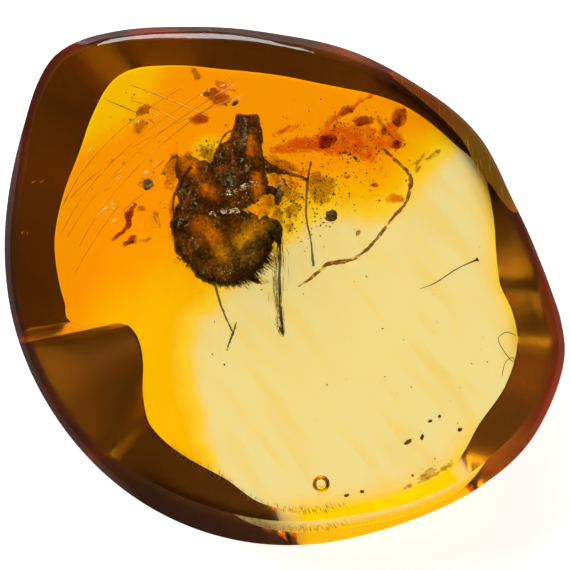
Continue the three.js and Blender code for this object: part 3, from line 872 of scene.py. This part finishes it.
def hairMaterial():
    # bristles are chitin too, but so thin that they only look olive-black against the light
    look = chitinLook
    material, tree, shader, place = newMaterial("chitin_bristles")
    shade = addNode(tree, "TexNoise", {"Vector": place, "Scale": look["clump"] / mm})
    colour = layColours(tree, look["hair"], [(shade, look["hairLight"])])
    setSockets(tree, shader, {"Base Color": colour, "Roughness": look["hairRoughness"]})
    clear = addNode(tree, "BsdfTransparent")
    setOutput(tree, addNode(tree, "MixShader", [look["hairClear"], shader, clear]), None, 0)
    return material


print("insect")
bodyPiece = makeBody()
thinLimbs = [insectLimb(limb, 28, 8) for limb in insect["legs"].values()]
legsPiece = joinAll(thinLimbs + [makeHairs()], "legs_and_hairs")
roughen(legsPiece.data, [(5.0, 0.03)], 7.7)
selectOnly(bodyPiece)
bpy.ops.object.shade_smooth()
finishPiece(bodyPiece, chitinMaterial(), "chitin", ("insect",))
finishPiece(legsPiece, hairMaterial(), "chitin", ("insect",))


# what else the resin caught, in mm and degrees

# each kind's lumps: place seen from above, half sizes and turn
lumps = {
    "bark_flake": [
        ((-5.45, 10.6), (0.64, 0.36, 0.15), 8), ((-4.35, 12.0), (0.8, 0.5, 0.14), -25),
        ((-9.1, 11.2), (0.5, 0.3, 0.12), 30), ((3.8, 11.1), (0.55, 0.26, 0.14), 28),
        ((4.9, 10.45), (0.7, 0.32, 0.16), 8), ((7.2, 10.7), (0.5, 0.6, 0.16), -15),
        ((2.6, 9.2), (0.65, 0.45, 0.18), 20), ((7.0, 8.95), (0.36, 0.28, 0.14), 0),
        ((6.2, 9.8), (0.22, 0.26, 0.14), 0),
    ],
    "red_grain": [
        ((3.85, 6.9), (0.17, 0.09, 0.1), 0), ((5.63, 6.4), (0.26, 0.15, 0.13), -12),
        ((4.6, 3.4), (0.14, 0.22, 0.11), -30),
    ],
    "grey_grain": [((2.9, 4.45), (0.36, 0.36, 0.3), 0)],
    "crumb": [
        ((-3.25, 11.6), (0.24, 0.13, 0.12), 35), ((7.8, -9.8), (0.26, 0.13, 0.12), 35),
        ((8.7, -9.5), (0.1, 0.18, 0.1), -15), ((9.2, -8.5), (0.14, 0.09, 0.1), 10),
        ((9.8, -8.2), (0.1, 0.1, 0.1), 0), ((11.1, -9.05), (0.15, 0.11, 0.1), 25),
        ((3.9, -13.2), (0.17, 0.1, 0.1), 15), ((4.9, -12.95), (0.13, 0.1, 0.1), 0),
        ((-12.0, 11.8), (0.12, 0.12, 0.1), 0),
    ],
}
# how a lump's skin is pushed in and out: share, how many to its size, and where in the noise
lumpNoise = [(1, 1.6, 5.3, 0), (0.7, 4.1, 2.9, 4), (0.4, 9.0, 1.7, 9)]

# twigs and strands: path, radii, steps and sides, and layers of roughness
twigLayers = [(2.5, 0.14), (7.0, 0.06)]
strands = {
    "twig_1": (
        [(-9.45, 5.35), (-9.9, 4.6), (-9.95, 3.95), (-10.4, 3.45), (-11.0, 2.95)],
        [0.12, 0.26, 0.2, 0.13, 0.04], 60, 12, twigLayers,
    ),
    "twig_2": (
        [(-9.5, 3.3), (-9.8, 2.95), (-10.15, 2.65), (-10.45, 2.35)],
        [0.14, 0.22, 0.12, 0.03], 40, 12, twigLayers,
    ),
    "stalk": (
        [(12.2, 1.68), (11.9, 1.55), (10.9, 1.1), (9.5, 0.2), (8.5, -0.2)],
        [0.16, 0.07, 0.035, 0.035, 0.03, 0.02], 60, 8, [(3.0, 0.015)],
    ),
    "fibre": (
        [(14.6, -3.13), (14.07, -2.94), (13.64, -3.15), (13.52, -3.47), (13.86, -4.1), (14.3, -4.65),
         (14.55, -4.78), (14.4, -4.5), (13.96, -4.87), (13.75, -5.7)],
        [0.024, 0.024], 120, 6, [],
    ),
    "crack_seam": (
        [(6.15, 8.7), (6.9, 8.0), (7.75, 7.2), (7.93, 6.5), (7.66, 5.46), (7.3, 4.9), (6.75, 4.32),
         (5.72, 2.95), (4.92, 2.14), (4.2, 1.72), (3.66, 1.57), (2.75, 1.46), (2.17, 1.0), (1.49, 0.43),
         (0.8, 0.0)],
        [0.07, 0.12, 0.1, 0.13, 0.09, 0.1, 0.08, 0.1, 0.1, 0.12, 0.14, 0.15, 0.12, 0.09, 0.03],
        260, 10, [(2.5, 0.05), (7.0, 0.04)],
    ),
}

# clouds of fine dirt: place, half sizes and turn
redClouds = [
    ((2.4, 9.35), (1.5, 0.5), 10), ((1.0, 9.0), (0.9, 0.42), -5), ((3.5, 8.75), (1.1, 0.4), -8),
    ((4.9, 8.3), (0.9, 0.22), -12), ((6.9, 10.2), (0.5, 0.35), 20), ((-4.0, 12.7), (0.6, 0.3), -30),
    ((0.2, 9.9), (0.7, 0.2), 15), ((-6.9, 8.2), (0.4, 0.3), 20), ((6.95, 5.6), (0.8, 0.34), 22),
    ((1.0, 7.1), (0.6, 0.3), -15), ((5.3, 9.7), (0.5, 0.3), 0), ((2.9, 10.4), (0.9, 0.24), 30),
    ((3.0, 9.2), (1.9, 0.7), 8), ((4.4, 9.0), (1.6, 0.9), -20), ((2.3, 8.6), (1.6, 0.4), -25),
    ((6.9, 9.6), (0.9, 0.8), 0), ((-0.2, 8.7), (0.9, 0.4), 10), ((4.8, 11.7), (1.2, 0.1), 38),
]
brownClouds = [
    ((2.3, 5.9), (0.66, 0.46), 10), ((2.1, 7.1), (0.42, 0.32), 0), ((-0.5, 7.4), (1.0, 0.42), -14),
    ((0.5, 6.3), (0.6, 0.4), 20), ((8.3, 7.65), (0.5, 0.18), 50), ((9.4, 8.35), (0.45, 0.12), 25),
    ((-9.0, 4.95), (0.36, 0.18), 15), ((-8.15, 4.35), (0.26, 0.42), 15), ((-9.1, 2.95), (0.55, 0.16), 12),
    ((-5.75, 13.4), (0.55, 0.3), -48), ((-9.2, 10.1), (0.6, 0.42), 30), ((-7.1, 7.9), (0.3, 0.3), 0),
    ((-1.2, 4.6), (0.5, 0.4), 0), ((-0.9, 5.3), (0.7, 0.3), 10), ((-4.9, 8.5), (0.6, 0.5), 0),
    ((8.9, -12.1), (0.9, 0.2), 33), ((10.2, -11.4), (0.6, 0.16), 40), ((7.8, -12.7), (0.4, 0.14), 25),
    ((6.0, 10.3), (0.6, 0.2), -50), ((0.6, 5.0), (0.5, 0.3), 0), ((-7.0, 7.0), (0.5, 0.9), -5),
    ((-6.2, 7.9), (0.8, 0.6), 30), ((-0.6, 6.2), (1.0, 1.0), 0), ((-0.2, 4.4), (0.7, 0.8), 0),
    ((-7.0, 4.5), (0.3, 1.2), 0), ((-3.2, 0.6), (1.6, 0.3), 0), ((0.3, 7.6), (1.2, 0.5), -12),
    ((-4.3, 8.0), (0.9, 0.4), 15), ((2.2, 6.4), (1.1, 0.8), 0),
]
# a cloud is some ragged wisps, grown together; none near the rim lies higher or lower than the rest
wisps = {
    "count": 4, "off": (0.45, 0.5), "size": (0.3, 0.8), "halfHeight": 0.14, "rise": (-0.15, 0.15),
    "riseWithin": 13, "turn": 14, "lump": (0.8, 3), "grain": 0.05, "layers": [(2.5, 0.1), (7.0, 0.07)],
}
# grey patches whose colour is a painted reflection of flat stress cracks: place, half sizes and turn
paintedReflectionChips = [((-0.25, 6.25), (0.28, 0.52, 0.1), -12), ((-8.85, 6.55), (0.48, 0.34, 0.1), 15)]

# single grains of dust, thickest round the insect and among the flakes: middle, reach, how many
dust = {
    "places": [
        ((-3.2, 4.5), 3.4, 420), ((3.2, 8.2), 3.2, 420), ((-10, 9.5), 3.2, 60), ((8, -6), 6.5, 26),
        ((0, 0), 11, 60), ((9.5, -11.6), 1.0, 22), ((1.0, 5.4), 1.8, 260), ((-4.85, 8.6), 0.7, 110),
    ],
    "fromEdge": 0.6, "heights": (-1.6, 2.2),
    "size": (0.032, 0.02, 0.11),  # its spread, least and most
    # a fringe of dirt along the lower edge of the back: degrees, mm from the edge, heights, lengths
    "fringe": {
        "count": 260, "arc": (234, 286), "off": (-0.1, 0.35), "heights": (0.9, 1.6), "length": (0.1, 0.4),
    },
}


def makeLump(number, at, half, turn, height=0.0, ragged=0.3, fineness=4):
    # a ball of many facets, flattened and pushed in and out
    piece = addNew(bpy.ops.mesh.primitive_ico_sphere_add, subdivisions=fineness, radius=1)
    for vert in piece.data.vertices:
        way = vert.co.copy()
        push = 1
        for share, finer, apart, away in lumpNoise:
            push += ragged * share * noise.noise(way * finer + Vector((number * apart, away, 0)))
        vert.co = Vector([w * push * h * mm for w, h in zip(way, half)])
    piece.rotation_euler = (0, 0, math.radians(turn))
    piece.location = Vector((*at, partingHeight + height)) * mm
    applyPlace(piece)
    return piece


def makeStrand(path, radii, steps, sides, layers):
    line, widths = smoothPath(path, radii, steps, partingHeight)
    piece = makeLimb(line, widths, sides)
    roughen(piece.data, layers, 2.0)
    return piece


def makeClouds(name, clouds, seed):
    chance = random.Random(seed)
    parts = []
    for at, half, turn in clouds:
        lie = Matrix.Rotation(math.radians(turn), 2)
        for _ in range(wisps["count"]):
            off = Vector([chance.gauss(0, h * share) for h, share in zip(half, wisps["off"])])
            place = Vector(at) + lie @ off
            size = [h * chance.uniform(*wisps["size"]) for h in half] + [wisps["halfHeight"]]
            rise = chance.uniform(*wisps["rise"]) if place.length < wisps["riseWithin"] else 0
            stray = turn + chance.gauss(0, wisps["turn"])
            parts.append(makeLump(seed + len(parts), place, size, stray, rise, *wisps["lump"]))
    piece = joinAll(parts, name)
    applyModifier(piece, "REMESH", mode="VOXEL", voxel_size=wisps["grain"] * mm)
    roughen(piece.data, wisps["layers"], seed)
    return piece


def makeDust():
    chance = random.Random(23)
    built = bmesh.new()
    spread, least, most = dust["size"]
    for (x, y), reach, count in dust["places"]:
        for _ in range(count):
            place = Vector((chance.gauss(x, reach * 0.6), chance.gauss(y, reach * 0.6), 0))
            edge = radiusAt(stone["back"], degreesAt(place.x, place.y))
            if place.length > edge - dust["fromEdge"]:
                continue
            place.z = partingHeight + chance.uniform(*dust["heights"])
            size = min(abs(chance.gauss(0.0, spread)) + least, most)
            width = size * chance.uniform(0.5, 1)
            stretch = Matrix.Diagonal(Vector((size, width, size * 0.6, 1 / mm))) * mm
            turn = Matrix.Rotation(chance.uniform(0, 6.28), 4, "Z")
            matrix = Matrix.Translation(place * mm) @ turn @ stretch
            bmesh.ops.create_icosphere(built, subdivisions=1, radius=1, matrix=matrix)
    fringe = dust["fringe"]
    for _ in range(fringe["count"]):
        degrees = between(*fringe["arc"], chance.random())
        radius = radiusAt(stone["back"], degrees) + chance.uniform(*fringe["off"])
        turn = math.radians(degrees)
        outward = Vector((math.cos(turn), math.sin(turn), 0))
        root = outward * radius + Vector((0, 0, chance.uniform(*fringe["heights"])))
        way = Vector((-0.25, 0.1, 0)) - outward + Vector((chance.gauss(0, 0.2), 0, 0))
        addHair(built, root, root + way * chance.uniform(*fringe["length"]), 0.013, Vector((0, 0, 0.02)))
    return addBuilt(built, "dust")


# dirt that light comes through: a body that takes light away, with opaque specks on it. Where it is
# thinner, as at its edge, it is paler, so a flake has a soft edge. Each look: dark and light colour,
# roughness, grain to the mm, where specks start and how much they cover, what it takes, how dense it is
dirtLooks = {
    # fibrous and tannin-brown, soaked with resin so that its thin flakes let red light through
    "resin_soaked_bark": ("4a1c04", "8c3a0c", 0.6, 3.0, 0.54, 0.5, (0.6, 0.24, 0.05, 1), 8000),
    # grains and crumbs: matt and grey-brown, almost opaque
    "mineral_grit": ("4a4024", "b4a888", 0.5, 3.0, 0.3, 0.9, (0.3, 0.25, 0.1, 1), 5500),
    # resin that seeped into the crack later, orange-brown with dirt in it
    "seeped_resin_seam": ("6a3a08", "c07020", 0.4, 2.4, 0.4, 0.6, (0.86, 0.6, 0.05, 1), 6000),
    # dust that the resin carried, too fine to see each grain
    "red_dirt": ("4a2206", "803808", 0.7, 5.0, 0.6, 0.3, (0.82, 0.44, 0.1, 1), 5200),
    "brown_dirt": ("3a2c08", "6a5014", 0.7, 6.0, 0.58, 0.35, (0.66, 0.58, 0.3, 1), 5500),
    # grey and matt, with light coming through: the grey is a painted reflection of flat stress cracks that mirror the
    # grey surroundings
    "painted_reflection_chip": ("6a6664", "a8a4a6", 0.35, 2.0, 0.4, 0.85, (0.6, 0.6, 0.55, 1), 2500),
}


def dirtMaterial(name, darkColour, lightColour, roughness, grain, specksFrom, cover, takes, density):
    material, tree, shader, place = newMaterial(name)
    grains = addNode(tree, "TexNoise", {"Vector": place, "Scale": grain / mm, "Detail": 5.0})
    shade = addNode(tree, "TexNoise", {"Vector": place, "Scale": 2.0 / mm, "Detail": 2.0})
    colour = layColours(tree, darkColour, [(shade, lightColour)])
    setSockets(tree, shader, {"Base Color": colour, "Roughness": roughness})
    specks = addNode(tree, "MapRange", [grains, specksFrom, specksFrom + 0.08, 0, cover])
    surface = addNode(tree, "MixShader", [specks, addNode(tree, "BsdfTransparent"), shader])
    setOutput(tree, surface, takes, density)
    return material


print("dirt")
dirt = {name: dirtMaterial(name, *look) for name, look in dirtLooks.items()}
barkFinish = (dirt["resin_soaked_bark"], "bark")
gritFinish = (dirt["mineral_grit"], "grit")
seamFinish = (dirt["seeped_resin_seam"], "seam")
number = 0
for kind, rows in lumps.items():
    for row in rows:
        name = f"{kind}_{rows.index(row) + 1}" if len(rows) > 1 else kind
        piece = makeLump(number, *row)
        piece.name = piece.data.name = name + "_dressed"
        finishPiece(piece, *(barkFinish if kind in ("bark_flake", "red_grain") else gritFinish), (name,))
        number += 1
strandFinishes = {"twig_1": barkFinish, "twig_2": barkFinish, "crack_seam": seamFinish}
for name, strand in strands.items():
    piece = makeStrand(*strand)
    piece.name = piece.data.name = name + "_dressed"
    finishPiece(piece, *strandFinishes.get(name, gritFinish), (name,))
finishPiece(makeClouds("red_dirt_clouds", redClouds, 40), dirt["red_dirt"], "bark")
finishPiece(makeClouds("brown_dirt_clouds", brownClouds, 80), dirt["brown_dirt"], "grit")
chips = [makeLump(120 + i, *chip, 1.5) for i, chip in enumerate(paintedReflectionChips)]
finishPiece(joinAll(chips, "painted_reflection_chips"), dirt["painted_reflection_chip"], "grit")
finishPiece(makeDust(), *gritFinish)


# the floor, the light and the camera

studio = {
    "floorSize": 4.0,
    "floorDrop": 0.05,  # mm under the stone
    "floorColour": "e8e8e6",
    "floorRoughness": 0.6,
    "panelRadius": 27,  # mm; the lit part of the floor, a light panel under the stone
    "panelFade": 5,
    "panelStrength": 0.86,
    "wallColour": "ffe2b8",
    "wallStrength": 0.24,
    "ceilingStrength": 0.02,  # dark, so that the dome mirrors nothing
    "ceilingFrom": (0.45, 0.85),
    # place and size in metres, and watts
    "lamps": {
        "shoulderLamp": ((-0.12, 0.45, 0.17), (0.45, 0.22), 2.6),
        "frontLamp": ((-0.36, 0.16, 0.34), (0.14, 0.14), 0.9),
    },
    "lens": 300,
    "sensor": 36,
    "frameWidth": 36.88,  # mm across the picture, at the height of the insect
    "aim": (-0.02, 0.11),
}


def makeFloor():
    place = (0, 0, -studio["floorDrop"] * mm)
    floor = addNew(bpy.ops.mesh.primitive_plane_add, size=studio["floorSize"], location=place)
    floor.name = "floor"
    material, tree, shader, place = newMaterial("opal_acrylic_panel")
    length = addNode(tree, "VectorMath", [place], operation="LENGTH").outputs["Value"]
    lit = [studio["panelRadius"] * mm, (studio["panelRadius"] + studio["panelFade"]) * mm]
    glow = addNode(tree, "MapRange", [length, *lit, studio["panelStrength"], 0.0], **smooth)
    setSockets(tree, shader, {
        "Base Color": studio["floorColour"], "Roughness": studio["floorRoughness"],
        "Emission Color": (1, 1, 1, 1), "Emission Strength": glow,
    })
    floor.data.materials.append(material)


def makeLamp(name, place, size, watts):
    # a lamp that faces the stone
    lamp = addNew(bpy.ops.object.light_add, type="AREA", location=place)
    lamp.name = name
    lamp.data.shape = "RECTANGLE"
    lamp.data.size, lamp.data.size_y = size
    lamp.data.energy = watts
    lamp.rotation_euler = (-Vector(place)).to_track_quat("-Z", "Y").to_euler()


def makeRoom():
    world = bpy.data.worlds.new("room")
    bpy.context.scene.world = world
    world.use_nodes = True
    tree = world.node_tree
    upward = addNode(tree, "SeparateXYZ", [addNode(tree, "TexCoord").outputs["Generated"]]).outputs["Z"]
    strengths = [studio["wallStrength"], studio["ceilingStrength"]]
    strength = addNode(tree, "MapRange", [upward, *studio["ceilingFrom"], *strengths])
    setSockets(tree, tree.nodes["Background"], {"Color": studio["wallColour"], "Strength": strength})


def makeCamera():
    distance = studio["frameWidth"] * mm * studio["lens"] / studio["sensor"]
    x, y = studio["aim"]
    place = (x * mm, y * mm, distance + partingHeight * mm)
    camera = addNew(bpy.ops.object.camera_add, location=place, rotation=(0, 0, 0))
    camera.data.lens = studio["lens"]
    camera.data.sensor_width = studio["sensor"]
    camera.data.clip_start = mm
    bpy.context.scene.camera = camera


print("studio")
makeFloor()
makeRoom()
for name, lamp in studio["lamps"].items():
    makeLamp(name, *lamp)
makeCamera()
bpy.context.scene.view_settings.view_transform = "Standard"
bpy.context.view_layer.update()
